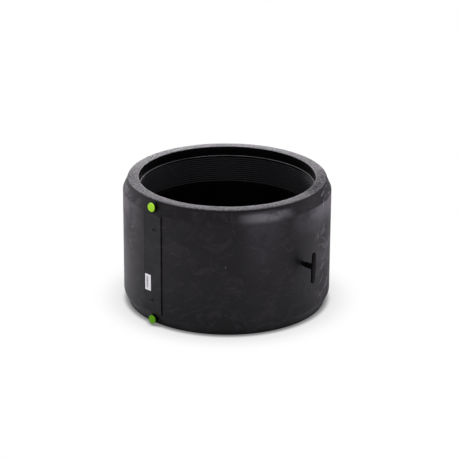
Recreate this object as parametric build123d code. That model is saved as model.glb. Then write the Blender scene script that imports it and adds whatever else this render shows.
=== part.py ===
from build123d import *
import math
import os

# Electrofusion coupler for polyethylene pipe, standing on its lower end.
#
# Frame: +Z runs up the coupler's axis, and the origin is the centre of the lower end face.
# The terminals face -Y, and the two centre-stop pins lie along the X axis.
# Lengths are in millimetres and angles in degrees.

# ---------------------------------------------------------------- driving dimensions

# Pipe socket
PIPE_DIAMETER = 500.0
SOCKET_CLEARANCE = 2.0          # radial room for a cold pipe inside the winding
MOUTH_CLEARANCE = 4.8           # radial room in the wider mouth at each end
MOUTH_DEPTH = 27.7
ENTRY_LAND = 4.3                # plain wall between the mouth's ledge and the first turn

# Body
WALL_THICKNESS = 49.0
BODY_HEIGHT = 376.0
END_LAND = 7.0                  # straight land between each end face and its taper
TAPER_END = 35.0                # distance from the end face to the full radius
TAPER_DEPTH = 13.0              # how much smaller the end faces are, in radius
RIM_ROUNDING = 5.0
MOUTH_ROUNDING = 2.0

# Heating windings, one in each half of the socket
WINDING_LENGTH = 83.2
WINDING_TURNS = 13
WINDING_THICKNESS = 3.0         # the coated wire's turns, fused side by side
TURN_GROOVE_DEPTH = 1.4
LEAD_WIRE_RADIUS = 1.1
BRIDGE_COVER = 0.7              # plastic over the wire that joins the two windings
CHANNEL_OVERRUN = 0.5           # of each wire's channel past the wire's ends

# Flat strip between the terminals
STRIP_WIDTH = 69.0
STRIP_HEIGHT = 1.5              # of its middle above the body's round wall
STRIP_EDGE_CHAMFER = 0.8

# Terminals
TERMINAL_OFFSET = 17.6          # distance of each terminal from its end face
SHROUD_RADIUS = 11.5
SHROUD_SOCKET_RADIUS = 7.0
SHROUD_SOCKET_DEPTH = 20.5
SHROUD_STANDOFF = 0.5           # of the shroud's open end past the body's round wall
SHROUD_BASE = 4.0
SHROUD_EDGE_CHAMFER = 0.7
CONTACT_RADIUS = 2.35
CONTACT_RECESS = 6.5            # of the contact's tip inside the shroud
CONTACT_TIP_CHAMFER = 1.0
CONTACT_TAIL = 7.0              # of the contact in the body, under the shroud
CONTACT_COLLAR_RADIUS = 4.5
CONTACT_COLLAR_THICKNESS = 1.5

# Press-on terminal caps
CAP_RADIUS = 12.7
CAP_THICKNESS = 4.8
CAP_EDGE_CHAMFER = 1.2
CAP_RIM_WIDTH = 2.4
CAP_DISH_DEPTH = 1.0
CAP_SKIRT_LENGTH = 9.5
CAP_SKIRT_WALL = 1.3
CAP_SEAT_GAP = 0.2
CAP_SKIRT_CLEARANCE = 0.1
CAP_WELL_DEPTH = 2.0            # how far the skirt's hollow reaches into the cap's head

# Fusion indicators: a pin at the bottom of a small well, which rises as the melt swells
INDICATOR_WELL_RADIUS = 3.0
INDICATOR_COVER = 9.0           # wall left between the well's floor and the winding
INDICATOR_CLEARANCE = 0.1
INDICATOR_FLOOR_GAP = 0.2
INDICATOR_COLLAR_RADIUS = 9.0
INDICATOR_COLLAR_HEIGHT = 0.8
INDICATOR_TIP_CHAMFER = 0.5
UPPER_INDICATOR_OFFSET = 84.0   # from the upper end face
UPPER_INDICATOR_SIDE = 6.5      # along X
UPPER_INDICATOR_RECESS = 1.2    # of the pin's tip below the strip's face
LOWER_INDICATOR_OFFSET = 76.5   # from the lower end face
LOWER_INDICATOR_SIDE = -1.0
LOWER_INDICATOR_RECESS = 4.0

# Data label on the strip
LABEL_WIDTH = 27.0
LABEL_HEIGHT = 53.0
LABEL_THICKNESS = 0.3
LABEL_MARGIN = 4.2              # from the strip's left edge
LABEL_BOTTOM = 99.5             # above the lower end face

# Centre-stop pins, pulled out by a T-shaped grip when the coupler has to slide right over a pipe
STOP_RADIUS = 5.5
STOP_CLEARANCE = 0.1
STOP_REACH = 6.0                # how far each pin stands into the bore
STOP_TIP_CHAMFER = 1.5
STEM_RADIUS = 8.2
STEM_CHAMFER = 1.0
NECK_RADIUS = 6.5
NECK_LENGTH = 8.0               # of the thinner part next to the wall
SHOULDER_GAP = 0.2
GRIP_STANDOFF = 35.0            # from the body's wall to the grip bar
GRIP_THICKNESS = 7.0
GRIP_LENGTH = 93.0
GRIP_MIDDLE_RADIUS = 8.6
GRIP_END_RADIUS = 6.2
GRIP_EDGE_CHAMFER = 1.4
GRIP_DROP = 2.5                 # of the bar's middle below the stem
RIGHT_GRIP_TURN = -2.5          # each grip sits a little off upright
LEFT_GRIP_TURN = 3.0

# ---------------------------------------------------------------- sizes that follow

BORE_RADIUS = PIPE_DIAMETER / 2 + SOCKET_CLEARANCE
MOUTH_RADIUS = PIPE_DIAMETER / 2 + MOUTH_CLEARANCE
BODY_RADIUS = BORE_RADIUS + WALL_THICKNESS
END_FACE_RADIUS = BODY_RADIUS - TAPER_DEPTH
TAPER_SLOPE = TAPER_DEPTH / (TAPER_END - END_LAND)
MIDDLE = BODY_HEIGHT / 2
WINDING_START = MOUTH_DEPTH + ENTRY_LAND
WINDING_END = WINDING_START + WINDING_LENGTH
WINDING_PITCH = WINDING_LENGTH / WINDING_TURNS
WINDING_SEAT_RADIUS = BORE_RADIUS + WINDING_THICKNESS
STRIP_FACE = BODY_RADIUS + STRIP_HEIGHT
CLEAR_OF_BODY = STRIP_FACE + STRIP_WIDTH
SHROUD_MOUTH = BODY_RADIUS + SHROUD_STANDOFF
SHROUD_FLOOR = SHROUD_MOUTH - SHROUD_SOCKET_DEPTH
SHROUD_SEAT = SHROUD_FLOOR - SHROUD_BASE
CONTACT_FOOT = SHROUD_SEAT - CONTACT_TAIL
LEAD_DEPTH = (MOUTH_RADIUS + CONTACT_FOOT) / 2
BRIDGE_DEPTH = BORE_RADIUS + BRIDGE_COVER + LEAD_WIRE_RADIUS
INDICATOR_WELL_FLOOR = WINDING_SEAT_RADIUS + INDICATOR_COVER
LABEL_X = LABEL_MARGIN + LABEL_WIDTH / 2 - STRIP_WIDTH / 2
LABEL_Z = LABEL_BOTTOM + LABEL_HEIGHT / 2
UPPER_TERMINAL_Z = BODY_HEIGHT - TERMINAL_OFFSET
LOWER_TERMINAL_Z = TERMINAL_OFFSET
UPPER_INDICATOR_Z = BODY_HEIGHT - UPPER_INDICATOR_OFFSET
LOWER_INDICATOR_Z = LOWER_INDICATOR_OFFSET


# ---------------------------------------------------------------- helpers


def section(points):
    """Return a flat face in the XZ plane from (radius, height) points."""
    return make_face(Plane.XZ * Polyline(*points, close=True))


def corners_at(face, places):
    """Return the face's corners that lie at the given (radius, height) places."""
    return [
        corner
        for corner in face.vertices()
        if any(math.dist((corner.X, corner.Z), place) < 0.01 for place in places)
    ]


def turned(face):
    """Return the solid that a section makes when it is turned about the Z axis."""
    return revolve(face, Axis.Z)


def end_edges(solid, end=-1):
    """Return the edges round a solid's highest face, or round its lowest with end 0."""
    return solid.faces().sort_by(Axis.Z)[end].edges()


def facing_terminals(solid, x, z):
    """Place a solid built along +Z so that it points out along -Y at the given x and z."""
    return Pos(x, 0, z) * Rot(X=90) * solid


def rod(radius, start, end):
    """Return a round bar on the Z axis between two heights."""
    return Pos(0, 0, start) * Cylinder(
        radius, end - start, align=(Align.CENTER, Align.CENTER, Align.MIN)
    )


# ---------------------------------------------------------------- body


def body_shell():
    """Return the turned body: tapered ends, wide mouths and two seats for the windings."""
    top = BODY_HEIGHT
    outside = [
        (MOUTH_RADIUS, 0),
        (END_FACE_RADIUS, 0),
        (END_FACE_RADIUS, END_LAND),
        (BODY_RADIUS, TAPER_END),
        (BODY_RADIUS, top - TAPER_END),
        (END_FACE_RADIUS, top - END_LAND),
        (END_FACE_RADIUS, top),
        (MOUTH_RADIUS, top),
    ]
    inside = [
        (MOUTH_RADIUS, top - MOUTH_DEPTH),
        (BORE_RADIUS, top - MOUTH_DEPTH),
        (BORE_RADIUS, top - WINDING_START),
        (WINDING_SEAT_RADIUS, top - WINDING_START),
        (WINDING_SEAT_RADIUS, top - WINDING_END),
        (BORE_RADIUS, top - WINDING_END),
        (BORE_RADIUS, WINDING_END),
        (WINDING_SEAT_RADIUS, WINDING_END),
        (WINDING_SEAT_RADIUS, WINDING_START),
        (BORE_RADIUS, WINDING_START),
        (BORE_RADIUS, MOUTH_DEPTH),
        (MOUTH_RADIUS, MOUTH_DEPTH),
    ]
    profile = section(outside + inside)
    for radius, rounding in ((MOUTH_RADIUS, MOUTH_ROUNDING), (END_FACE_RADIUS, RIM_ROUNDING)):
        profile = fillet(corners_at(profile, [(radius, 0), (radius, top)]), rounding)
    return turned(profile)


def tapered_envelope():
    """Return the room inside the two end tapers, carried on past the body's radius."""
    reach = CLEAR_OF_BODY
    run = (reach - END_FACE_RADIUS) / TAPER_SLOPE
    top = BODY_HEIGHT
    return turned(
        section(
            [
                (0, 0),
                (END_FACE_RADIUS, 0),
                (END_FACE_RADIUS, END_LAND),
                (reach, END_LAND + run),
                (reach, top - END_LAND - run),
                (END_FACE_RADIUS, top - END_LAND),
                (END_FACE_RADIUS, top),
                (0, top),
            ]
        )
    )


def terminal_strip():
    """Return the raised flat strip, cut off at both ends by the body's own tapers."""
    root = BODY_RADIUS - STRIP_WIDTH / 2
    outline = Rectangle(STRIP_WIDTH, BODY_HEIGHT - 2 * END_LAND)
    slab = Pos(0, 0, root) * extrude(outline, STRIP_FACE - root)
    slab = chamfer(end_edges(slab), STRIP_EDGE_CHAMFER)
    collars = [
        Pos(UPPER_INDICATOR_SIDE, UPPER_INDICATOR_Z - MIDDLE, STRIP_FACE),
        Pos(LOWER_INDICATOR_SIDE, LOWER_INDICATOR_Z - MIDDLE, STRIP_FACE),
    ]
    for place in collars:
        slab += place * Cone(
            INDICATOR_COLLAR_RADIUS,
            INDICATOR_COLLAR_RADIUS - INDICATOR_COLLAR_HEIGHT,
            INDICATOR_COLLAR_HEIGHT,
            align=(Align.CENTER, Align.CENTER, Align.MIN),
        )
    return facing_terminals(slab, 0, MIDDLE) & tapered_envelope()


def terminal_seat(z):
    """Return the room that a shroud and the foot of its contact take in the wall."""
    seat = rod(SHROUD_RADIUS, SHROUD_SEAT, CLEAR_OF_BODY)
    return facing_terminals(seat + rod(CONTACT_RADIUS, CONTACT_FOOT, SHROUD_SEAT), 0, z)


def coupler_body():
    """Return the body with its terminal seats, wells, pin holes and wire channels."""
    body, strip = body_shell(), terminal_strip()
    for z in (UPPER_TERMINAL_Z, LOWER_TERMINAL_Z):
        body -= terminal_seat(z)
        strip -= terminal_seat(z)
    body += strip
    wells = [
        (UPPER_INDICATOR_SIDE, UPPER_INDICATOR_Z),
        (LOWER_INDICATOR_SIDE, LOWER_INDICATOR_Z),
    ]
    for x, z in wells:
        well = rod(INDICATOR_WELL_RADIUS, INDICATOR_WELL_FLOOR, CLEAR_OF_BODY)
        body -= facing_terminals(well, x, z)
    hole = rod(STOP_RADIUS + STOP_CLEARANCE, -CLEAR_OF_BODY, CLEAR_OF_BODY)
    body -= Pos(0, 0, MIDDLE) * Rot(Y=90) * hole
    for upper in (True, False):
        body -= lead_wire(upper, CHANNEL_OVERRUN)
    return body - bridge_wire(CHANNEL_OVERRUN)


# ---------------------------------------------------------------- heating circuit


def heating_coil(bottom):
    """Return one winding: a sleeve of turns with a groove between each turn and the next."""
    groove = BORE_RADIUS + TURN_GROOVE_DEPTH
    points = [(WINDING_SEAT_RADIUS, bottom + WINDING_LENGTH), (WINDING_SEAT_RADIUS, bottom)]
    for turn in range(WINDING_TURNS):
        points.append((groove, bottom + turn * WINDING_PITCH))
        points.append((BORE_RADIUS, bottom + (turn + 0.5) * WINDING_PITCH))
    points.append((groove, bottom + WINDING_LENGTH))
    return turned(section(points))


def lead_wire(upper, overrun=0.0):
    """Return the wire from one terminal's foot along the wall to its winding's first turn."""
    first_turn = WINDING_START + WINDING_PITCH / 2
    path = Polyline(
        (0, -CONTACT_FOOT - overrun, TERMINAL_OFFSET),
        (0, -LEAD_DEPTH, TERMINAL_OFFSET),
        (0, -LEAD_DEPTH, first_turn),
        (0, -WINDING_SEAT_RADIUS + overrun, first_turn),
    )
    start = Plane(origin=path @ 0, z_dir=path % 0)
    wire = sweep(start * Circle(LEAD_WIRE_RADIUS), path, transition=Transition.RIGHT)
    return mirror(wire, Plane.XY.offset(MIDDLE)) if upper else wire


def bridge_wire(overrun=0.0):
    """Return the wire that joins the windings across the cold middle of the coupler."""
    start = WINDING_END - overrun
    return Pos(0, -BRIDGE_DEPTH, 0) * rod(LEAD_WIRE_RADIUS, start, BODY_HEIGHT - start)


# ---------------------------------------------------------------- terminals


def terminal_shroud():
    """Return the moulded shroud round one contact, open at its outer end."""
    shroud = rod(SHROUD_RADIUS, SHROUD_SEAT, SHROUD_MOUTH)
    shroud = chamfer(end_edges(shroud), SHROUD_EDGE_CHAMFER)
    shroud -= rod(SHROUD_SOCKET_RADIUS, SHROUD_FLOOR, SHROUD_MOUTH)
    return shroud - rod(CONTACT_RADIUS, SHROUD_SEAT, SHROUD_FLOOR)


def contact_pin():
    """Return one brass contact: a pin with a tapered tip and a collar on the shroud's floor."""
    pin = rod(CONTACT_RADIUS, CONTACT_FOOT, SHROUD_MOUTH - CONTACT_RECESS)
    pin = chamfer(end_edges(pin), CONTACT_TIP_CHAMFER)
    collar = rod(CONTACT_COLLAR_RADIUS, SHROUD_FLOOR, SHROUD_FLOOR + CONTACT_COLLAR_THICKNESS)
    return pin + collar


def terminal_cap():
    """Return one cap: a dished head with a skirt that plugs into the shroud."""
    seat = SHROUD_MOUTH + CAP_SEAT_GAP
    face = seat + CAP_THICKNESS
    skirt = SHROUD_SOCKET_RADIUS - CAP_SKIRT_CLEARANCE
    skirt_end = SHROUD_MOUTH - CAP_SKIRT_LENGTH
    head = chamfer(end_edges(rod(CAP_RADIUS, seat, face)), CAP_EDGE_CHAMFER)
    dish = CAP_RADIUS - CAP_RIM_WIDTH
    head -= Pos(0, 0, face) * Cone(
        dish - CAP_DISH_DEPTH, dish, CAP_DISH_DEPTH, align=(Align.CENTER, Align.CENTER, Align.MAX)
    )
    cap = head + rod(skirt, skirt_end, seat)
    return cap - rod(skirt - CAP_SKIRT_WALL, skirt_end, seat + CAP_WELL_DEPTH)


def indicator_pin(recess):
    """Return one fusion indicator, its tip the given distance below the strip's face."""
    pin = rod(
        INDICATOR_WELL_RADIUS - INDICATOR_CLEARANCE,
        INDICATOR_WELL_FLOOR + INDICATOR_FLOOR_GAP,
        STRIP_FACE - recess,
    )
    return chamfer(end_edges(pin), INDICATOR_TIP_CHAMFER)


def data_label():
    """Return the sticker on the strip."""
    sheet = extrude(Rectangle(LABEL_WIDTH, LABEL_HEIGHT), LABEL_THICKNESS)
    return facing_terminals(Pos(0, 0, STRIP_FACE) * sheet, LABEL_X, LABEL_Z)


# ---------------------------------------------------------------- centre stops


def stop_pin(side, turn):
    """Return one centre-stop pin along +Z, with its grip bar turned about the pin."""
    shoulder = BODY_RADIUS + SHOULDER_GAP
    bar_start = BODY_RADIUS + GRIP_STANDOFF
    pin = rod(STOP_RADIUS, BORE_RADIUS - STOP_REACH, shoulder)
    pin = chamfer(end_edges(pin, 0), STOP_TIP_CHAMFER)
    end = GRIP_LENGTH / 2 - GRIP_END_RADIUS
    outline = make_hull(
        (
            Circle(GRIP_MIDDLE_RADIUS)
            + Pos(end, 0) * Circle(GRIP_END_RADIUS)
            + Pos(-end, 0) * Circle(GRIP_END_RADIUS)
        ).edges()
    )
    bar = Pos(side * GRIP_DROP, 0, bar_start) * extrude(outline, GRIP_THICKNESS)
    bar = chamfer(end_edges(bar), GRIP_EDGE_CHAMFER)
    stem = chamfer(end_edges(rod(STEM_RADIUS, shoulder + NECK_LENGTH, bar_start), 0), STEM_CHAMFER)
    grip = bar + stem + rod(NECK_RADIUS, shoulder, shoulder + NECK_LENGTH)
    return pin + Rot(Z=turn) * grip


def along_x(solid, side):
    """Place a solid built along +Z so that it points out along +X (side 1) or -X (side -1)."""
    return Pos(0, 0, MIDDLE) * Rot(Y=90 * side) * solid


# ---------------------------------------------------------------- the parts

PARTS = {
    "coupler_body": coupler_body(),
    "lower_heating_coil": heating_coil(WINDING_START),
    "upper_heating_coil": heating_coil(BODY_HEIGHT - WINDING_END),
    "lower_lead_wire": lead_wire(False),
    "upper_lead_wire": lead_wire(True),
    "bridge_wire": bridge_wire(),
    "lower_terminal_shroud": facing_terminals(terminal_shroud(), 0, LOWER_TERMINAL_Z),
    "upper_terminal_shroud": facing_terminals(terminal_shroud(), 0, UPPER_TERMINAL_Z),
    "lower_contact_pin": facing_terminals(contact_pin(), 0, LOWER_TERMINAL_Z),
    "upper_contact_pin": facing_terminals(contact_pin(), 0, UPPER_TERMINAL_Z),
    "lower_terminal_cap": facing_terminals(terminal_cap(), 0, LOWER_TERMINAL_Z),
    "upper_terminal_cap": facing_terminals(terminal_cap(), 0, UPPER_TERMINAL_Z),
    "lower_fusion_indicator": facing_terminals(
        indicator_pin(LOWER_INDICATOR_RECESS), LOWER_INDICATOR_SIDE, LOWER_INDICATOR_Z
    ),
    "upper_fusion_indicator": facing_terminals(
        indicator_pin(UPPER_INDICATOR_RECESS), UPPER_INDICATOR_SIDE, UPPER_INDICATOR_Z
    ),
    "data_label": data_label(),
    "right_stop_pin": along_x(stop_pin(1, RIGHT_GRIP_TURN), 1),
    "left_stop_pin": along_x(stop_pin(-1, LEFT_GRIP_TURN), -1),
}

if __name__ == "__main__":
    os.makedirs("parts", exist_ok=True)
    for name, part in PARTS.items():
        export_step(part, f"parts/{name}.step")
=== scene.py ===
"""Looks of a large electrofusion coupler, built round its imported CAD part. Lengths are in metres."""

import math

import bmesh
import bpy
from mathutils import Matrix, Vector


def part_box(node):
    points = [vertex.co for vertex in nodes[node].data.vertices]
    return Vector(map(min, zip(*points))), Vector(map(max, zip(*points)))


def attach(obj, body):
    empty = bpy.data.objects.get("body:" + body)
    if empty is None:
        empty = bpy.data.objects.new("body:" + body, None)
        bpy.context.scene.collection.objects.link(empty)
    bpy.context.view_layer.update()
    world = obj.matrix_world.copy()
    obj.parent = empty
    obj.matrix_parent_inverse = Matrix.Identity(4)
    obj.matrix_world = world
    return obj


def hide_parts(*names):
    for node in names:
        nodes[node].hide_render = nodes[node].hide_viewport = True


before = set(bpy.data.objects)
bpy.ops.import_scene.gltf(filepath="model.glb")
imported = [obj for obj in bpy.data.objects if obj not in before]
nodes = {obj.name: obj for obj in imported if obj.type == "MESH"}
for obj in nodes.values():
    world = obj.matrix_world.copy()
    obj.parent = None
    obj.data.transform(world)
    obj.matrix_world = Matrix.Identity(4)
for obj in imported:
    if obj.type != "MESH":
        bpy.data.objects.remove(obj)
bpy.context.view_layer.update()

# ---------------------------------------------------------------- sizes, as in the CAD part

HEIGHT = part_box("coupler_body")[1].z
MIDDLE = HEIGHT / 2
BORE = 0.252
MOUTH = 0.2548
MOUTH_DEPTH = 0.0277
BODY = 0.301
END_FACE = 0.288
END_LAND = 0.007
TAPER_END = 0.035
RIM_ROUNDING = 0.005
MOUTH_ROUNDING = 0.002
WINDING_START = 0.032
WINDING_LENGTH = 0.0832
WINDING_END = WINDING_START + WINDING_LENGTH
WINDING_TURNS = 13
SEAT = 0.255
STRIP_FACE = 0.3025
STRIP_WIDTH = 0.069
TERMINALS = {"lower": 0.0176, "upper": HEIGHT - 0.0176}
WELLS = ((-0.001, 0.0765), (0.0065, HEIGHT - 0.084))
SHROUD_RADIUS = 0.0115
SHROUD_SEAT = 0.277
CAP_RADIUS = 0.0127
CAP_BACK = 0.3017
CAP_FACE = CAP_BACK + 0.0048
SKIRT_RADIUS = 0.0069
SKIRT_END = 0.292
STOP_RADIUS = 0.0055
STOP_TIP = 0.246
NECK_RADIUS = 0.0065
NECK_END = 0.3092
STEM_RADIUS = 0.0082
GRIP_START = 0.336
GRIP_THICKNESS = 0.007
GRIP_LENGTH = 0.093
GRIP_MIDDLE = 0.0086
GRIP_END = 0.0062
GRIP_DROP = 0.0025

WELL_RADIUS = 0.003
WELL_FLOOR = 0.264
COLLAR_RADIUS = 0.009
COLLAR_HEIGHT = 0.0008
STRIP_CHAMFER = 0.0008
SHOULDER = 0.3012
STOP_HOLE_RADIUS = 0.0056
RIGHT_GRIP_TURN = -2.5
LEFT_GRIP_TURN = 3.0

# ---------------------------------------------------------------- sizes that only the looks have

ROUND_STEPS = 384               # faces round the body
TAPER_BLEND = 0.016             # radius of the soft blend from the wall to each taper
CLEAR_OF_BODY = 0.33            # radius beyond the body's wall and strip
GROOVE_SIDES = (0.0345, 0.0363)
GROOVE_ENDS = (-0.176, 0.157)   # from the body's middle
GROOVE_FLOOR = 0.2962
GRIP_ROUNDING = 0.0022
CAP_RIM_ROUNDING = 0.0016
LABEL_TRIM_LOW = Vector((0.0019, 0, 0.0038))
LABEL_TRIM_HIGH = Vector((0.0026, 0, 0.0007))
SLIVER = 0.000002               # edges shorter than this are taken out after the cuts

# ---------------------------------------------------------------- mesh helpers


def arc(centre_r, centre_z, radius, start, end, steps=6):
    """Return (radius, height) points along an arc; angles are in degrees."""
    points = []
    for k in range(steps + 1):
        a = math.radians(start + (end - start) * k / steps)
        points.append((centre_r + radius * math.cos(a), centre_z + radius * math.sin(a)))
    return points


def turned(points, steps, closed=False):
    """Return a mesh-code solid: a (radius, height) profile turned about Z."""
    bm = bmesh.new()
    rings = []
    for r, z in points:
        count = 1 if r < 1e-6 else steps
        angles = [2 * math.pi * k / steps for k in range(count)]
        rings.append([bm.verts.new((r * math.cos(a), r * math.sin(a), z)) for a in angles])
    pairs = list(zip(rings, rings[1:]))
    if closed:
        pairs.append((rings[-1], rings[0]))
    for low, high in pairs:
        for k in range(steps):
            n = k + 1
            loop = [low[k % len(low)], low[n % len(low)], high[n % len(high)], high[k % len(high)]]
            loop = list(dict.fromkeys(loop))
            if len(loop) > 2:
                bm.faces.new(loop)
    bmesh.ops.recalc_face_normals(bm, faces=bm.faces)
    return bm


def skinned(loops):
    """Return a closed solid through a list of point loops with equal counts."""
    bm = bmesh.new()
    rings = [[bm.verts.new(p) for p in loop] for loop in loops]
    for low, high in zip(rings, rings[1:]):
        for k in range(len(low)):
            n = (k + 1) % len(low)
            bm.faces.new((low[k], low[n], high[n], high[k]))
    bm.faces.new(rings[0])
    bm.faces.new(rings[-1])
    bmesh.ops.recalc_face_normals(bm, faces=bm.faces)
    return bm


def grip_outline(inset, steps=14):
    """Return the grip bar's outline, a hull of three circles, moved in by an inset."""
    middle, end, reach = GRIP_MIDDLE - inset, GRIP_END - inset, GRIP_LENGTH / 2 - GRIP_END
    lean = math.asin((GRIP_MIDDLE - GRIP_END) / reach)
    points = []
    for side in (1, -1):
        for k in range(steps + 1):
            a = -math.pi / 2 + lean + (math.pi - 2 * lean) * k / steps
            points.append((side * (reach + end * math.cos(a)), side * end * math.sin(a)))
        for k in range(1, 4):
            a = math.pi / 2 - lean + 2 * lean * k / 4
            points.append((side * middle * math.cos(a), side * middle * math.sin(a)))
    return points


def outwards(x, z):
    """Return the placing that turns +Z to -Y, at the given x and z."""
    return Matrix.Translation((x, 0, z)) @ Matrix.Rotation(math.radians(90), 4, "X")


def as_object(bm, name, place=None):
    """Return a new object in the scene from mesh code."""
    if place is not None:
        bm.transform(place)
    mesh = bpy.data.meshes.new(name)
    bm.to_mesh(mesh)
    bm.free()
    thing = bpy.data.objects.new(name, mesh)
    bpy.context.scene.collection.objects.link(thing)
    return thing


def combined(base, others, way):
    """Join or cut meshes with a boolean modifier and keep the outcome on base."""
    for other in others:
        change = base.modifiers.new("change", "BOOLEAN")
        change.operation = way
        change.solver = "EXACT"
        change.object = other
        bpy.context.view_layer.update()
        ready = base.evaluated_get(bpy.context.evaluated_depsgraph_get())
        mesh = bpy.data.meshes.new_from_object(ready)
        base.modifiers.clear()
        base.data = mesh
        bpy.data.objects.remove(other)
    return base


def without_slivers(thing):
    """Take out the faces with no area that the cuts leave behind."""
    bm = bmesh.new()
    bm.from_mesh(thing.data)
    bmesh.ops.dissolve_degenerate(bm, dist=SLIVER, edges=bm.edges)
    bm.to_mesh(thing.data)
    bm.free()
    return thing


def smoothed(thing, degrees):
    """Shade smooth, with edges sharper than the angle kept crisp."""
    thing.data.shade_smooth()
    thing.data.set_sharp_from_angle(angle=math.radians(degrees))
    return thing


def dressed(thing, material):
    """Give an object one material."""
    thing.data.materials.clear()
    thing.data.materials.append(material)
    return thing


# ---------------------------------------------------------------- material helpers


class Paint:
    """A procedural material with a few short ways to add nodes."""

    def __init__(self, name):
        """Start a material with its shader and the object's own coordinates."""
        self.material = bpy.data.materials.new(name)
        self.material.use_nodes = True
        self.tree = self.material.node_tree
        self.shader = self.tree.nodes["Principled BSDF"]
        self.place = self.node("ShaderNodeTexCoord").outputs["Object"]

    def node(self, kind, **settings):
        """Add a node with some of its settings."""
        made = self.tree.nodes.new(kind)
        for key, value in settings.items():
            setattr(made, key, value)
        return made

    def join(self, source, target):
        """Link two sockets."""
        self.tree.links.new(source, target)

    def value(self, source, target):
        """Link a socket, or set a plain number."""
        if isinstance(source, (int, float)):
            target.default_value = source
        else:
            self.join(source, target)

    def math(self, way, a, b=0.0, clamp=False):
        """Return the outcome of a math node."""
        made = self.node("ShaderNodeMath", operation=way, use_clamp=clamp)
        self.value(a, made.inputs[0])
        self.value(b, made.inputs[1])
        return made.outputs[0]

    def product(self, first, *others):
        """Multiply several sockets or numbers."""
        for other in others:
            first = self.math("MULTIPLY", first, other)
        return first

    def rest_of(self, mask):
        """Return a mask turned round: 1 where it is 0."""
        return self.math("SUBTRACT", 1.0, mask)

    def span(self, source, low, high, to_low=0.0, to_high=1.0):
        """Ease from one value to another while the source goes from low to high."""
        made = self.node("ShaderNodeMapRange", interpolation_type="SMOOTHSTEP")
        self.join(source, made.inputs["Value"])
        made.inputs["From Min"].default_value = low
        made.inputs["From Max"].default_value = high
        made.inputs["To Min"].default_value = to_low
        made.inputs["To Max"].default_value = to_high
        return made.outputs[0]

    def band(self, source, start, full, fade, end, top=1.0):
        """Rise from 0 to top between start and full, and fall back between fade and end."""
        return self.product(self.span(source, start, full, 0.0, top), self.span(source, end, fade))

    def stretched(self, scale, rotation=(0, 0, 0)):
        """Return the object's coordinates, turned and scaled."""
        made = self.node("ShaderNodeMapping")
        made.inputs["Scale"].default_value = scale
        made.inputs["Rotation"].default_value = rotation
        self.join(self.place, made.inputs["Vector"])
        return made.outputs[0]

    def noise(self, scale, detail=4.0, roughness=0.55, vector=None, distortion=0.0):
        """Return a noise texture's value."""
        made = self.node("ShaderNodeTexNoise")
        made.inputs["Scale"].default_value = scale
        made.inputs["Detail"].default_value = detail
        made.inputs["Roughness"].default_value = roughness
        made.inputs["Distortion"].default_value = distortion
        self.join(vector if vector is not None else self.place, made.inputs["Vector"])
        return made.outputs[0]

    def mix(self, factor, a, b):
        """Return a blend of two colours, from a at 0 to b at 1."""
        made = self.node("ShaderNodeMix", data_type="RGBA")
        self.value(factor, made.inputs["Factor"])
        for source, socket in ((a, made.inputs["A"]), (b, made.inputs["B"])):
            if isinstance(source, tuple):
                socket.default_value = source
            else:
                self.join(source, socket)
        return made.outputs["Result"]

    def bump(self, height, strength, distance, below=None):
        """Return a normal bent by a height, on top of any earlier one."""
        made = self.node("ShaderNodeBump")
        made.inputs["Strength"].default_value = strength
        made.inputs["Distance"].default_value = distance
        self.join(height, made.inputs["Height"])
        if below is not None:
            self.join(below, made.inputs["Normal"])
        return made.outputs["Normal"]

    def set(self, socket, source):
        """Link or set one of the shader's inputs."""
        target = self.shader.inputs[socket]
        if isinstance(source, (int, float, tuple)):
            target.default_value = source
        else:
            self.join(source, target)


def split(paint):
    """Return the x, y and z sockets of a material's place."""
    made = paint.node("ShaderNodeSeparateXYZ")
    paint.join(paint.place, made.inputs[0])
    return made.outputs[0], made.outputs[1], made.outputs[2]


def from_axis(paint, x, y):
    """Return the distance from the Z axis."""
    squares = paint.math("ADD", paint.math("MULTIPLY", x, x), paint.math("MULTIPLY", y, y))
    return paint.math("SQRT", squares)


# ---------------------------------------------------------------- materials


def rub_marks(p, around, z, outside):
    """Return smears, thin curved lines, and the mask of where both are densest."""
    right = p.band(around, 98.0, 112.0, 130.0, 152.0)
    left = p.product(p.band(around, -70.0, -45.0, -22.0, -10.0), p.span(z, 0.12, 0.26, 0.0, 0.4))
    sides = p.math("ADD", right, left, True)

    flat = p.stretched((0.6, 0.6, 1.0), (0.2, 0.5, 0.0))
    smears = p.span(p.noise(20.0, 6.0, 0.68, flat, 1.6), 0.47, 0.66)
    smears = p.product(smears, p.math("ADD", p.product(sides, 0.9), 0.1), outside)

    leaning = p.stretched((0.6, 0.6, 1.0), (0.5, 0.2, 0.3))
    bends = p.math("FRACT", p.product(p.noise(5.0, 2.0, 0.5, leaning, 0.7), 11.0))
    bends = p.math("ABSOLUTE", p.math("SUBTRACT", bends, 0.5))
    broken = p.span(p.noise(28.0, 3.0, 0.6), 0.48, 0.60)
    lines = p.product(p.span(bends, 0.07, 0.0), broken)
    lines = p.product(lines, p.math("ADD", p.product(sides, 0.9), 0.04), outside)
    return smears, lines, sides


def wall_sheen(p, around, z, cloud):
    """Return the painted reflection: a pale band down the wall, right of the middle, made cloudy by
    noise.
    """
    haze = p.product(p.band(around, 49.0, 62.0, 68.0, 80.0), p.span(z, 0.14, 0.33, 0.12, 1.0))
    return p.product(haze, p.span(cloud, 0.25, 0.6, 0.4, 1.0))


def taper_dust_and_sheen(p, around, z):
    """Return the pale patches on the upper taper, partly dust and partly painted sheen: one patch above
    the wall's painted reflection band and one by the strip.
    """
    patch = p.band(around, 44.0, 66.0, 72.0, 86.0)
    by_strip = p.band(around, -80.0, -50.0, -22.0, -6.0, 0.8)
    tall = p.band(z, HEIGHT - 0.044, HEIGHT - 0.026, HEIGHT - 0.018, HEIGHT - 0.009)
    speckle = p.span(p.noise(16.0, 5.0, 0.7), 0.36, 0.62)
    return p.product(tall, p.math("ADD", patch, by_strip, True), speckle)


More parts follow.
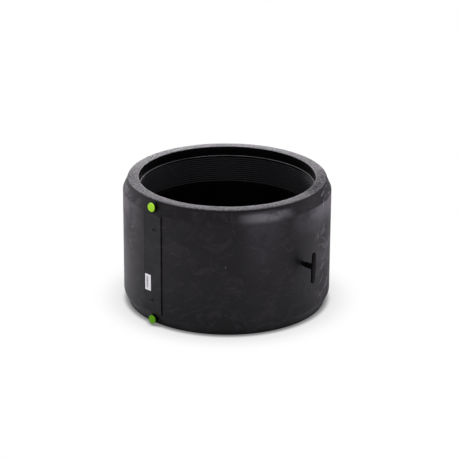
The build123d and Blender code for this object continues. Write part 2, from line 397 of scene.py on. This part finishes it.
def shoulder_dust_and_sheen(p, around, z, outside):
    """Return the pale patches on the wall just under the upper taper, at both sides of the front: partly
    dust, partly painted sheen.
    """
    far = p.band(around, 78.0, 104.0, 135.0, 155.0)
    by_strip = p.band(around, -80.0, -50.0, -22.0, -6.0, 0.7)
    tall = p.band(z, 0.255, 0.335, HEIGHT - 0.0375, HEIGHT - 0.0325)
    speckle = p.span(p.noise(13.0, 5.0, 0.65), 0.32, 0.60, 0.25, 1.0)
    return p.product(tall, p.math("ADD", far, by_strip, True), speckle, outside)


def surface_chips(p, cloud, outside):
    """Return a few small chips in the outer surface."""
    cells = p.node("ShaderNodeTexVoronoi")
    cells.inputs["Scale"].default_value = 24.0
    p.join(p.place, cells.inputs["Vector"])
    spots = p.math("LESS_THAN", cells.outputs["Distance"], 0.05)
    return p.product(spots, outside, p.span(cloud, 0.42, 0.50))


def sanded_face(p, radius, sanding):
    """Return the end faces' colour: dark sanded plastic, with a patchy painted highlight along each of
    its two edges.
    """
    coarse = p.span(sanding, 0.42, 0.60)
    tone = p.mix(coarse, (0.001, 0.001, 0.001, 1), (0.10, 0.096, 0.105, 1))
    # Painted highlight along the mouth's edge, broken up by the sanding.
    lip = p.span(radius, MOUTH + 0.0045, MOUTH + 0.002)
    lip = p.product(lip, p.span(sanding, 0.3, 0.5, 0.3, 1.0), 0.9)
    tone = p.mix(lip, tone, (0.13, 0.13, 0.13, 1))
    # Painted highlight along the outer edge, broken up by the sanding.
    edge = p.span(radius, END_FACE - 0.0065, END_FACE - 0.0045)
    edge = p.product(edge, p.span(sanding, 0.4, 0.6), 0.6)
    return p.mix(edge, tone, (0.08, 0.078, 0.08, 1))


def ledge_glint(p, radius, from_middle):
    """Return a thin painted highlight along the corner of each mouth's ledge, patchy along its length.
    """
    ledge = MIDDLE - MOUTH_DEPTH
    line = p.band(from_middle, ledge - 0.0006, ledge - 0.0001, ledge + 0.0001, ledge + 0.0006)
    patchiness = p.span(p.noise(8.0), 0.35, 0.6, 0.3, 1.0)
    return p.product(line, p.span(radius, MOUTH - 0.0001, MOUTH - 0.0004), patchiness)


def body_paint():
    """Black polyethylene: sanded end faces with painted highlights on their edges, an outer wall with
    scuffs, dust, painted sheen and painted shade, and a clean turned bore painted darker as shade.
    """
    p = Paint("black_polyethylene")
    p.shader.inputs["Specular IOR Level"].default_value = 0.27
    x, y, z = split(p)
    radius = from_axis(p, x, y)
    around = p.product(p.math("ARCTAN2", x, p.product(y, -1.0)), 180 / math.pi)
    from_middle = p.math("ABSOLUTE", p.math("SUBTRACT", z, MIDDLE))

    beside = p.math("LESS_THAN", p.math("ABSOLUTE", x), STRIP_WIDTH / 2 - 0.0005)
    on_strip = p.product(beside, p.math("LESS_THAN", y, -0.29))
    inside = p.span(radius, MOUTH + MOUTH_ROUNDING, MOUTH + 0.0006)
    outside = p.rest_of(inside)
    end_face = p.span(from_middle, MIDDLE - 0.0022, MIDDLE - 0.0006)
    land = MIDDLE - END_LAND
    end_wall = p.product(p.span(from_middle, land - 0.001, land), p.rest_of(end_face), outside)

    cloud = p.noise(9.0, 5.0, 0.6)
    grain = p.noise(420.0, 3.0, 0.6)
    sanding = p.noise(125.0, 5.0, 0.8)
    flow = p.noise(30.0, 4.0, 0.6, p.stretched((1.0, 1.0, 0.35)), 0.6)
    smears, lines, sides = rub_marks(p, around, z, outside)
    chips = surface_chips(p, cloud, outside)

    tint = p.mix(on_strip, (0.0046, 0.0038, 0.0046, 1), (0.0038, 0.0037, 0.0043, 1))
    # Painted shade: the wall's colour darkens toward the floor, below 0.16 m.
    tint = p.mix(p.span(z, 0.16, 0.02), tint, (0.0006, 0.0005, 0.0008, 1))
    # Painted reflection: a pale band down the wall, right of the middle.
    tint = p.mix(wall_sheen(p, around, z, cloud), tint, (0.034, 0.031, 0.036, 1))
    # Partly dust, partly painted sheen: pale patches on the upper taper.
    tint = p.mix(taper_dust_and_sheen(p, around, z), tint, (0.15, 0.145, 0.155, 1))
    # Partly dust, partly painted sheen: pale patches on the wall under the upper taper.
    tint = p.mix(shoulder_dust_and_sheen(p, around, z, outside), tint, (0.12, 0.113, 0.127, 1))
    tint = p.mix(smears, tint, (0.11, 0.10, 0.115, 1))
    tint = p.mix(lines, tint, (0.26, 0.25, 0.27, 1))
    tint = p.mix(p.product(chips, 0.5), tint, (0.20, 0.20, 0.20, 1))
    tint = p.mix(end_face, tint, sanded_face(p, radius, sanding))
    # Painted shade: the land and the outer rounding of each end are painted darker than the wall, a dark
    # line under the end face.
    tint = p.mix(end_wall, tint, (0.003, 0.003, 0.003, 1))
    # Painted shade: the bore and the mouths are painted darker than the outer wall.
    tint = p.mix(inside, tint, (0.0008, 0.0008, 0.0009, 1))
    # Painted highlight along each mouth's ledge.
    tint = p.mix(ledge_glint(p, radius, from_middle), tint, (0.17, 0.17, 0.18, 1))
    p.set("Base Color", tint)

    rough = p.math("ADD", 0.34, p.product(cloud, 0.18))
    rough = p.math("ADD", rough, p.product(grain, 0.05))
    rough = p.math("ADD", rough, p.product(smears, 0.25))
    rough = p.math("ADD", rough, p.product(sides, 0.16))
    rough = p.math("SUBTRACT", rough, p.product(inside, 0.14))
    rough = p.math("ADD", rough, p.product(p.math("MAXIMUM", end_face, end_wall), 0.04))
    p.set("Roughness", rough)
    normal = p.bump(flow, 0.12, 0.0015)
    normal = p.bump(p.math("ADD", lines, smears), 0.5, 0.0006, normal)
    normal = p.bump(grain, 0.15, 0.0002, normal)
    normal = p.bump(p.product(sanding, end_face), 0.6, 0.001, normal)
    p.set("Normal", normal)
    return p.material


def winding_paint():
    """The windings' plastic coat, a little duller than the body."""
    p = Paint("winding_coat")
    p.shader.inputs["Specular IOR Level"].default_value = 0.27
    grain = p.noise(260.0, 3.0)
    p.set("Base Color", p.mix(grain, (0.0040, 0.0038, 0.0045, 1), (0.0065, 0.0061, 0.0073, 1)))
    p.set("Roughness", p.math("ADD", 0.42, p.product(grain, 0.12)))
    p.set("Normal", p.bump(grain, 0.05, 0.0002))
    return p.material


def plain_plastic(name, dark, light, rough, scale=180.0, relief=0.0002, shine=0.4):
    """A moulded plastic with a little grain and uneven gloss."""
    p = Paint(name)
    p.shader.inputs["Specular IOR Level"].default_value = shine
    grain = p.noise(scale, 3.0)
    cloud = p.noise(40.0, 3.0)
    p.set("Base Color", p.mix(cloud, dark, light))
    p.set("Roughness", p.math("ADD", rough, p.product(grain, 0.1)))
    p.set("Normal", p.bump(grain, 0.15, relief))
    return p.material


def drawn_metal(name, dark, light, rough):
    """A bright metal with fine marks along it."""
    p = Paint(name)
    marks = p.noise(300.0, 3.0, 0.6, p.stretched((1.0, 0.1, 1.0)))
    p.set("Base Color", p.mix(marks, dark, light))
    p.set("Metallic", 1.0)
    p.set("Roughness", p.math("ADD", rough, p.product(marks, 0.15)))
    p.set("Normal", p.bump(marks, 0.1, 0.0001))
    return p.material


def label_paint(corner, width, height):
    """A white sticker that carries only plain grey bars."""
    p = Paint("white_label")
    x, _, z = split(p)
    across = p.math("DIVIDE", p.math("SUBTRACT", x, corner.x), width)
    up = p.math("DIVIDE", p.math("SUBTRACT", z, corner.z), height)

    def between(source, low, high):
        """Return 1 where the source lies between two values."""
        return p.product(p.math("GREATER_THAN", source, low), p.math("LESS_THAN", source, high))

    stripe = p.math("FRACT", p.product(up, 11.0))
    bars = p.product(p.math("LESS_THAN", stripe, 0.72), between(up, 0.14, 0.86))
    bars = p.product(bars, between(across, 0.24, 0.54))
    side_bar = p.product(between(across, 0.68, 0.73), between(up, 0.2, 0.8), 0.25)
    ink = p.product(p.math("MAXIMUM", bars, side_bar), 0.85)
    fibre = p.noise(500.0, 3.0)
    paper = p.mix(fibre, (0.93, 0.93, 0.93, 1), (0.98, 0.98, 0.98, 1))
    p.set("Base Color", p.mix(ink, paper, (0.09, 0.09, 0.10, 1)))
    p.set("Roughness", p.math("ADD", 0.45, p.product(fibre, 0.1)))
    return p.material


# ---------------------------------------------------------------- coupler body


def half_profile():
    """Return the lower half's (radius, height) points, from the outer wall in to the bore."""
    lean = math.degrees(math.atan2(BODY - END_FACE, TAPER_END - END_LAND))
    reach = TAPER_BLEND * math.tan(math.radians(lean / 2))
    points = [(BODY, MIDDLE * k / 8) for k in range(8, 1, -1)]
    points += arc(BODY - TAPER_BLEND, TAPER_END + reach, TAPER_BLEND, 0, -lean, 5)
    points += [(END_FACE + 0.0002, END_LAND + 0.0004), (END_FACE, END_LAND - 0.0002)]
    points += arc(END_FACE - RIM_ROUNDING, RIM_ROUNDING, RIM_ROUNDING, 0, -90, 10)
    points += arc(MOUTH + MOUTH_ROUNDING, MOUTH_ROUNDING, MOUTH_ROUNDING, -90, -180, 6)
    points += [(MOUTH, MOUTH_DEPTH * 0.6), (MOUTH, MOUTH_DEPTH)]
    points += [(BORE + 0.0004, MOUTH_DEPTH), (BORE, MOUTH_DEPTH + 0.0004)]
    points += [(BORE, WINDING_START), (SEAT, WINDING_START), (SEAT, WINDING_END)]
    points += [(BORE, WINDING_END), (BORE, WINDING_END + 0.02)]
    return points


def strip_mesh():
    """Return the flat strip, its ends cut off by the two tapers."""
    edge = STRIP_WIDTH / 2
    root = BODY - edge
    tall = MIDDLE - END_LAND
    eased = 0.0003
    levels = [(root, 0), (STRIP_FACE - STRIP_CHAMFER, 0)]
    levels += [(STRIP_FACE - eased, eased), (STRIP_FACE, STRIP_CHAMFER)]
    loops = []
    for out, inset in levels:
        w, h = edge - inset, tall - inset
        loops.append([(w, h, out), (-w, h, out), (-w, -h, out), (w, -h, out)])
    strip = as_object(skinned(loops), "strip", outwards(0, MIDDLE))

    run = (CLEAR_OF_BODY - END_FACE) * (TAPER_END - END_LAND) / (BODY - END_FACE)
    gap = 0.0001
    low = [(0, 0), (END_FACE - gap, 0), (END_FACE - gap, END_LAND)]
    low.append((CLEAR_OF_BODY - gap, END_LAND + run))
    high = [(r, HEIGHT - z) for r, z in reversed(low)]
    room = as_object(turned(low + high, ROUND_STEPS), "room")
    return combined(strip, [room], "INTERSECT")


def collar_mesh(x, z):
    """Return the low round collar on the strip round one indicator's well."""
    root = STRIP_FACE - 0.01
    r = 0.0006
    rounding = arc(COLLAR_RADIUS - r, STRIP_FACE + COLLAR_HEIGHT - r, r, 0, 90, 4)
    profile = [(0, root), (COLLAR_RADIUS, root)] + rounding + [(0, STRIP_FACE + COLLAR_HEIGHT)]
    return as_object(turned(profile, 64), "collar", outwards(x, z))


def well_cut(x, z):
    """Return the room of one indicator's well, a little wider at its mouth."""
    low, high, wide = 0.3030, 0.3034, WELL_RADIUS + 0.0004
    profile = [(0, WELL_FLOOR), (WELL_RADIUS, WELL_FLOOR), (WELL_RADIUS, low)]
    profile += [(wide, high), (wide, 0.32), (0, 0.32)]
    return as_object(turned(profile, 48), "well", outwards(x, z))


def shroud_cut(z):
    """Return the room of one terminal's shroud."""
    profile = [(0, SHROUD_SEAT), (SHROUD_RADIUS, SHROUD_SEAT)]
    profile += [(SHROUD_RADIUS, CLEAR_OF_BODY), (0, CLEAR_OF_BODY)]
    return as_object(turned(profile, 64), "seat", outwards(0, z))


def groove_cut():
    """Return the groove beside the strip's right edge."""
    left, right = GROOVE_SIDES
    low, high = GROOVE_ENDS
    corners = [(left, high), (right, high), (right, low), (left, low)]
    loops = [[(x, z, out) for x, z in corners] for out in (GROOVE_FLOOR, 0.31)]
    return as_object(skinned(loops), "groove", outwards(0, MIDDLE))


def stop_hole_cut():
    """Return the bar-shaped room of both centre-stop pins, through both walls."""
    reach = 0.4
    profile = [(0, -reach), (STOP_HOLE_RADIUS, -reach), (STOP_HOLE_RADIUS, reach), (0, reach)]
    sideways = Matrix.Translation((0, 0, MIDDLE)) @ Matrix.Rotation(math.radians(90), 4, "Y")
    return as_object(turned(profile, 48), "hole", sideways)


def body_mesh():
    """Return the visual body: turned wall, flat strip, wells, groove, pin holes and seats."""
    lower = half_profile()
    upper = [(r, HEIGHT - z) for r, z in reversed(lower)]
    body = as_object(turned(lower + upper, ROUND_STEPS, closed=True), "coupler_body_visual")
    combined(body, [strip_mesh()] + [collar_mesh(x, z) for x, z in WELLS], "UNION")
    cuts = [well_cut(x, z) for x, z in WELLS]
    cuts += [shroud_cut(z) for z in TERMINALS.values()]
    cuts += [groove_cut(), stop_hole_cut()]
    combined(body, cuts, "DIFFERENCE")
    return smoothed(without_slivers(body), 22)


def grip_bar_mesh(side):
    """Return the grip's bar with rounded edges, along its pin's axis."""
    near_side = []
    for k in range(6):
        a = math.radians(90 * k / 5)
        depth = GRIP_START + GRIP_ROUNDING * (1 - math.sin(a))
        near_side.append((depth, GRIP_ROUNDING * (1 - math.cos(a))))
    near_side.reverse()
    both = 2 * GRIP_START + GRIP_THICKNESS
    far_side = [(both - depth, inset) for depth, inset in reversed(near_side)]
    rings = []
    for depth, inset in near_side + far_side:
        rings.append([(a + side * GRIP_DROP, b, depth) for a, b in grip_outline(inset)])
    return as_object(skinned(rings), "bar")


def stop_pin_mesh(name, side, turn):
    """Return a centre-stop pin with a rounded T grip, pointing out along X."""
    tip, soft, flare = 0.0015, 0.001, 0.0011
    profile = [(0, STOP_TIP), (STOP_RADIUS - tip, STOP_TIP), (STOP_RADIUS, STOP_TIP + tip)]
    profile += [(STOP_RADIUS, SHOULDER), (NECK_RADIUS, SHOULDER), (NECK_RADIUS, NECK_END)]
    profile += [(STEM_RADIUS - soft, NECK_END)]
    profile += arc(STEM_RADIUS - soft, NECK_END + soft, soft, -90, 0, 4)[1:]
    profile += [(STEM_RADIUS, GRIP_START - 0.0015), (STEM_RADIUS + 0.0004, GRIP_START - 0.0006)]
    profile += [(STEM_RADIUS + flare, GRIP_START), (STEM_RADIUS + flare, GRIP_START + 0.001)]
    profile += [(0, GRIP_START + 0.001)]
    pin = as_object(turned(profile, 64), name)
    combined(pin, [grip_bar_mesh(side)], "UNION")
    place = Matrix.Translation((0, 0, MIDDLE)) @ Matrix.Rotation(math.radians(90 * side), 4, "Y")
    pin.data.transform(place @ Matrix.Rotation(math.radians(turn), 4, "Z"))
    return smoothed(pin, 35)


def winding_mesh(name, bottom):
    """Return one continuous helix of coated wire lying in its seat."""
    pitch = WINDING_LENGTH / WINDING_TURNS
    steps = 160
    half = pitch / 2 - 0.0001
    crown, spread = 0.0022, math.radians(80)
    ring = [(SEAT, -half), (SEAT, half)]
    for k in range(7):
        a = spread - 2 * spread * k / 6
        ring.append((BORE + crown * (1 - math.cos(a)), half * math.sin(a) / math.sin(spread)))
    loops = []
    for k in range((WINDING_TURNS - 1) * steps + 1):
        a = 2 * math.pi * k / steps - math.pi / 2
        z = bottom + pitch / 2 + pitch * k / steps
        loops.append([(r * math.cos(a), r * math.sin(a), z + dz) for r, dz in ring])
    return smoothed(as_object(skinned(loops), name), 40)


def cap_mesh(name, z):
    """Return a press-on cap: a dished head with a rounded raised rim, and a plug behind it."""
    rim = CAP_RIM_ROUNDING
    hollow, hollow_end = 0.0056, CAP_BACK + 0.002
    profile = [(0, CAP_FACE - 0.0010), (0.0045, CAP_FACE - 0.00095), (0.0082, CAP_FACE - 0.0008)]
    profile += [(0.0094, CAP_FACE - 0.0004), (0.0103, CAP_FACE - 0.0001)]
    profile += arc(CAP_RADIUS - rim, CAP_FACE - rim, rim, 90, 0, 8)
    profile += [(CAP_RADIUS, CAP_BACK + 0.0006), (CAP_RADIUS - 0.0004, CAP_BACK)]
    profile += [(SKIRT_RADIUS, CAP_BACK), (SKIRT_RADIUS, SKIRT_END + 0.0003)]
    profile += [(SKIRT_RADIUS - 0.0003, SKIRT_END), (hollow, SKIRT_END)]
    profile += [(hollow, hollow_end), (0, hollow_end)]
    return smoothed(as_object(turned(profile, 96), name, outwards(0, z)), 50)


def label_mesh(low, high):
    """Return the sticker between two corners of its box."""
    corners = [(low.x, low.z), (high.x, low.z), (high.x, high.z), (low.x, high.z)]
    return as_object(skinned([[(x, y, z) for x, z in corners] for y in (low.y, high.y)]), "label_visual")


# ---------------------------------------------------------------- pieces on their bodies

BLACK = body_paint()
body = dressed(body_mesh(), BLACK)
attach(body, "coupler")
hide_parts("coupler_body")

COAT = winding_paint()
for side, bottom in (("lower", WINDING_START), ("upper", HEIGHT - WINDING_END)):
    winding = dressed(winding_mesh(side + "_winding_visual", bottom), COAT)
    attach(winding, "coupler")
    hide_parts(side + "_heating_coil")

# Painted shade: the lower cap's green is a darker copy of the upper cap's lime, as it sits near the
# floor.
LIME_IN_SHADE = ((0.115, 0.37, 0.002, 1), (0.14, 0.43, 0.004, 1))
LIME = ((0.40, 0.82, 0.02, 1), (0.48, 0.93, 0.03, 1))
GREENS = {
    "lower": plain_plastic("lime_green_in_shade", *LIME_IN_SHADE, 0.4, shine=0.15),
    "upper": plain_plastic("lime_green", *LIME, 0.3, shine=0.2),
}
for side, z in TERMINALS.items():
    cap = dressed(cap_mesh(side + "_cap_visual", z), GREENS[side])
    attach(cap, side + "_cap")
    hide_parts(side + "_terminal_cap")

PIN_BLACKS = ((0.0008, 0.0008, 0.0009, 1), (0.0025, 0.0023, 0.0024, 1))
PIN = plain_plastic("stop_pin_plastic", *PIN_BLACKS, 0.42, shine=0.1)
for side, way, turn in (("right", 1, RIGHT_GRIP_TURN), ("left", -1, LEFT_GRIP_TURN)):
    pin = dressed(stop_pin_mesh(side + "_stop_visual", way, turn), PIN)
    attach(pin, side + "_stop")
    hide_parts(side + "_stop_pin")

# The sticker, trimmed a little inside the CAD part's one.
label_low, label_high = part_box("data_label")
low, high = label_low + LABEL_TRIM_LOW, label_high - LABEL_TRIM_HIGH
sticker = label_mesh(low, high)
dressed(sticker, label_paint(low, high.x - low.x, high.z - low.z))
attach(sticker, "coupler")
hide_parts("data_label")

BLACKS = ((0.001, 0.001, 0.001, 1), (0.002, 0.002, 0.002, 1))
SHROUD = plain_plastic("shroud_plastic", *BLACKS, 0.4, shine=0.08)
INDICATOR = plain_plastic("indicator_plastic", *BLACKS, 0.5, shine=0.08)
BRASS = drawn_metal("turned_brass", (0.62, 0.42, 0.16, 1), (0.80, 0.58, 0.26, 1), 0.18)
WIRE = drawn_metal("heating_wire", (0.55, 0.27, 0.14, 1), (0.72, 0.38, 0.20, 1), 0.25)
finishes = {"bridge_wire": WIRE}
for side in ("lower", "upper"):
    finishes[side + "_lead_wire"] = WIRE
    finishes[side + "_terminal_shroud"] = SHROUD
    finishes[side + "_contact_pin"] = BRASS
    finishes[side + "_fusion_indicator"] = INDICATOR
for name, finish in finishes.items():
    smoothed(dressed(nodes[name], finish), 35)

# ---------------------------------------------------------------- studio


def sheet(name, width, depth):
    """Return a flat floor sheet, cut into a few cells."""
    bm = bmesh.new()
    bmesh.ops.create_grid(bm, x_segments=8, y_segments=8, size=0.5)
    bm.transform(Matrix.Diagonal((width, depth, 1, 1)))
    return as_object(bm, name)


def floor_paint():
    """A white studio floor: the camera sees white, with a painted contact shadow where the body is
    close.
    """
    p = Paint("white_floor")
    p.tree.nodes.remove(p.shader)
    out = p.tree.nodes["Material Output"]
    tones = []
    for reach, low, dark in ((0.022, 0.35, 0.27), (0.12, 0.45, 0.78)):
        closed_in = p.node("ShaderNodeAmbientOcclusion", samples=20)
        closed_in.inputs["Distance"].default_value = reach
        tones.append(p.span(closed_in.outputs["AO"], low, 0.99, dark, 1.0))
    seen = p.node("ShaderNodeEmission")
    p.join(p.product(*tones), seen.inputs["Strength"])

    # Other rays see pale cloth, with a painted shadow under the body and inside its bore: the floor
    # there is dark.
    cloth = p.node("ShaderNodeBsdfDiffuse")
    plain = p.mix(p.noise(40.0), (0.80, 0.80, 0.80, 1), (0.84, 0.84, 0.84, 1))
    x, y, _ = split(p)
    under_body = p.span(from_axis(p, x, y), 0.28, 0.26)
    p.join(p.mix(under_body, plain, (0.02, 0.02, 0.02, 1)), cloth.inputs["Color"])
    path = p.node("ShaderNodeLightPath")
    choice = p.node("ShaderNodeMixShader")
    p.join(path.outputs["Is Camera Ray"], choice.inputs[0])
    p.join(cloth.outputs[0], choice.inputs[1])
    p.join(seen.outputs[0], choice.inputs[2])
    p.join(choice.outputs[0], out.inputs["Surface"])
    return p.material


floor = dressed(sheet("floor", 14, 14), floor_paint())

AZIMUTH = math.radians(44.1)
CENTRE = Vector((0, 0, MIDDLE))


def from_camera(azimuth, rise, distance):
    """Return a point round the coupler; azimuth is counted from the camera's, to its right."""
    a = AZIMUTH + math.radians(azimuth)
    e = math.radians(rise)
    way = Vector((math.sin(a) * math.cos(e), -math.cos(a) * math.cos(e), math.sin(e)))
    return CENTRE + way * distance


def softbox(name, azimuth, rise, distance, width, height, power):
    """Add an area light that faces the coupler and isn't seen itself."""
    light = bpy.data.lights.new(name, "AREA")
    light.shape = "RECTANGLE"
    light.size = width
    light.size_y = height
    light.energy = power
    light.color = (1.0, 0.97, 1.0)
    lamp = bpy.data.objects.new(name, light)
    lamp.location = from_camera(azimuth, rise, distance)
    lamp.rotation_euler = (CENTRE - lamp.location).to_track_quat("-Z", "Y").to_euler()
    lamp.visible_camera = False
    bpy.context.scene.collection.objects.link(lamp)


softbox("overhead", 0, 88, 3.2, 2.6, 2.6, 57)
softbox("rim", 194, 22.5, 0.97, 1.7, 0.16, 7.5)  # close behind, for the end face's far side
softbox("behind", 180, 26, 4.0, 4.0, 1.4, 8)
softbox("left", -100, 25, 3.2, 1.2, 2.4, 9)
softbox("right", 105, 25, 3.2, 1.2, 2.4, 9)

world = bpy.data.worlds.new("studio")
bpy.context.scene.world = world
world.use_nodes = True
sky = world.node_tree.nodes["Background"]
sky.inputs["Color"].default_value = (0.95, 0.91, 1.0, 1)
sky.inputs["Strength"].default_value = 0.56

# ---------------------------------------------------------------- camera

lens = bpy.data.cameras.new("camera")
lens.sensor_width = 36
lens.lens = 164.6
lens.shift_x = 0.0045
lens.shift_y = 0.0153
lens.clip_end = 60
camera = bpy.data.objects.new("camera", lens)
camera.location = from_camera(0, 21.47, 6.104)
aim = (CENTRE - camera.location).to_track_quat("-Z", "Y").to_matrix().to_4x4()
roll = Matrix.Rotation(math.radians(0.29), 4, "Z")
camera.matrix_world = Matrix.Translation(camera.location) @ aim @ roll
bpy.context.scene.collection.objects.link(camera)
bpy.context.scene.camera = camera
bpy.context.scene.view_settings.view_transform = "Standard"
